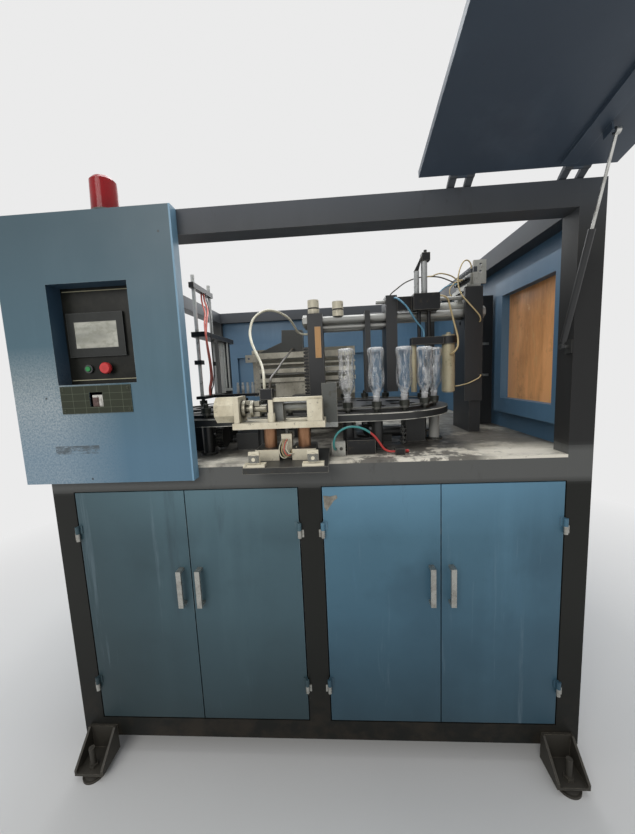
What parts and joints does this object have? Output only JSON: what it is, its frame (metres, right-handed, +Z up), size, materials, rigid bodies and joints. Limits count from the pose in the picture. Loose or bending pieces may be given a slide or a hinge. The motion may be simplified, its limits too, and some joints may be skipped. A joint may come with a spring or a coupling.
{
  "type": "blow moulding machine",
  "caption": "Two-cavity automatic PET bottle blow moulding machine: tube frame with door cabinet, mandrel chain, clamp unit, oven, control cover and raised hatch.",
  "frame": {"origin": "underside centre of the front left levelling foot, on the floor", "axes": "+X to the machine's right seen from its doors, +Y from the doors to the back, +Z up"},
  "size_m": [1.956, 2.8828, 2.2695],
  "materials": {
    "frame_paint": "worn satin",
    "zinc_steel": "dull",
    "deck_steel": "worn and oily",
    "panel_paint": "satin",
    "black_plastic": "matt",
    "screen_glass": "smooth",
    "satin_ring": "satin",
    "green_plastic": "gloss",
    "red_plastic": "gloss",
    "smoked_plate": "gloss",
    "beacon_grey": "matt",
    "beacon_red": "gloss",
    "amber_pane": "streaked",
    "bright_steel": "polished",
    "black_paint": "satin",
    "chain_steel": "oily",
    "clear_pet": "clear",
    "satin_aluminium": "satin",
    "cream_metal": "worn",
    "lamp_glass": "clear",
    "bronze": "dull",
    "white_hose": "soft",
    "grey_hose": "matt",
    "red_hose": "soft",
    "cream_hose": "soft",
    "blue_hose": "soft",
    "teal_cable": "soft"
  },
  "bodies": {
    "machine": {"frame_posts": "frame_paint", "frame_rails": "frame_paint", "deck_plate": "deck_steel", "wall_panels": "panel_paint", "hinge_pins": "zinc_steel", "foot_brackets": "frame_paint", "levelling_feet": "zinc_steel", "control_cover": "panel_paint", "enclosure": "panel_paint", "panel_plate": "black_plastic", "screen_bezel": "black_plastic", "screen": "screen_glass", "button_collars": "satin_ring", "smoked_cover": "smoked_plate", "beacon_base": "beacon_grey", "beacon_lens": "beacon_red", "window_frame": "panel_paint", "window_pane": "amber_pane", "hatch_hardware": "frame_paint", "track": "black_paint", "star_wheel_right": "black_paint", "star_wheel_left": "black_paint", "chain_links": "chain_steel", "mandrels": "black_paint", "bottles": "clear_pet", "clamp_plates": "black_paint", "tie_bars": "bright_steel", "clamp_cylinder": "satin_aluminium", "guide_columns": "cream_metal", "stretch_base": "black_paint", "valve_island": "satin_aluminium", "oven_body": "satin_aluminium", "oven_lamps": "lamp_glass", "lift_frame": "black_paint", "turnover_base": "black_paint", "guide_bushes": "bronze", "white_hose": "white_hose", "grey_hose": "grey_hose", "cream_hose": "cream_hose", "blue_hose": "blue_hose", "front_cable": "teal_cable"},
    "door_1": {"door_1": "panel_paint", "door_handle_1": "zinc_steel"},
    "door_2": {"door_2": "panel_paint", "door_handle_2": "zinc_steel"},
    "door_3": {"door_3": "panel_paint", "door_handle_3": "zinc_steel"},
    "door_4": {"door_4": "panel_paint", "door_handle_4": "zinc_steel"},
    "hatch": {"hatch_panel": "panel_paint"},
    "strut_rod": {"strut_rod": "bright_steel"},
    "strut_cylinder": {"strut_cylinder": "black_paint"},
    "start_button": {"start_button": "green_plastic"},
    "stop_button": {"stop_button": "red_plastic"},
    "clamp_platen": {"clamp_platen": "black_paint"},
    "stretch_head": {"stretch_head": "black_paint"},
    "lift_carriage": {"lift_carriage": "black_paint", "red_hose": "red_hose"},
    "turnover_plate": {"turnover_plate": "cream_metal"},
    "turn_shaft": {"turn_shaft": "satin_aluminium"}
  },
  "joints": [
    {"name": "door_1_hinge", "type": "hinge", "parent": "machine", "child": "door_1", "pos_m": [0.004, 0.0672, 0.692], "axis": [0, 0, -1], "range_deg": [0, 110]},
    {"name": "door_2_hinge", "type": "hinge", "parent": "machine", "child": "door_2", "pos_m": [0.832, 0.0672, 0.692], "axis": [0, 0, 1], "range_deg": [0, 90]},
    {"name": "door_3_hinge", "type": "hinge", "parent": "machine", "child": "door_3", "pos_m": [0.916, 0.0672, 0.692], "axis": [0, 0, -1], "range_deg": [0, 90]},
    {"name": "door_4_hinge", "type": "hinge", "parent": "machine", "child": "door_4", "pos_m": [1.744, 0.0672, 0.692], "axis": [0, 0, 1], "range_deg": [0, 110]},
    {"name": "hatch_hinge", "type": "hinge", "parent": "machine", "child": "hatch", "pos_m": [1.54, 0.055, 2.064], "axis": [1, 0, 0], "range_deg": [0, 102.7]},
    {"name": "strut_pivot", "type": "hinge", "parent": "hatch", "child": "strut_rod", "pos_m": [1.722, -0.08946, 2.06888], "axis": [1, 0, 0], "range_deg": [-120.16, 0]},
    {"name": "strut_slide", "type": "slide", "parent": "strut_rod", "child": "strut_cylinder", "axis": [0, -0.324, 0.9461], "range_m": [0, 0.17706]},
    {"name": "start_press", "type": "slide", "parent": "machine", "child": "start_button", "axis": [0, 1, 0], "range_m": [0, 0.004], "stiffness_N_per_m": 400},
    {"name": "stop_press", "type": "slide", "parent": "machine", "child": "stop_button", "axis": [0, 1, 0], "range_m": [0, 0.004], "stiffness_N_per_m": 600},
    {"name": "platen_slide", "type": "slide", "parent": "machine", "child": "clamp_platen", "axis": [1, 0, 0], "range_m": [0, 0.06]},
    {"name": "stretch_slide", "type": "slide", "parent": "machine", "child": "stretch_head", "axis": [0, 0, 1], "range_m": [0, 0.12]},
    {"name": "lift_slide", "type": "slide", "parent": "machine", "child": "lift_carriage", "axis": [0, 0, 1], "range_m": [0, 0.1]},
    {"name": "turnover_lift", "type": "slide", "parent": "machine", "child": "turnover_plate", "axis": [0, 0, 1], "range_m": [0, 0.04], "deforming": ["white_hose", "grey_hose"]},
    {"name": "turnover_turn", "type": "hinge", "parent": "turnover_plate", "child": "turn_shaft", "pos_m": [0.63, 0.079, 1.377], "axis": [1, 0, 0], "range_deg": [0, 180]}
  ],
  "couplings": [
    {"joint": "strut_pivot", "follows": "hatch_hinge", "ratio": -1.1695},
    {"joint": "strut_slide", "follows": "hatch_hinge", "m_per_rad": 0.098724}
  ]
}
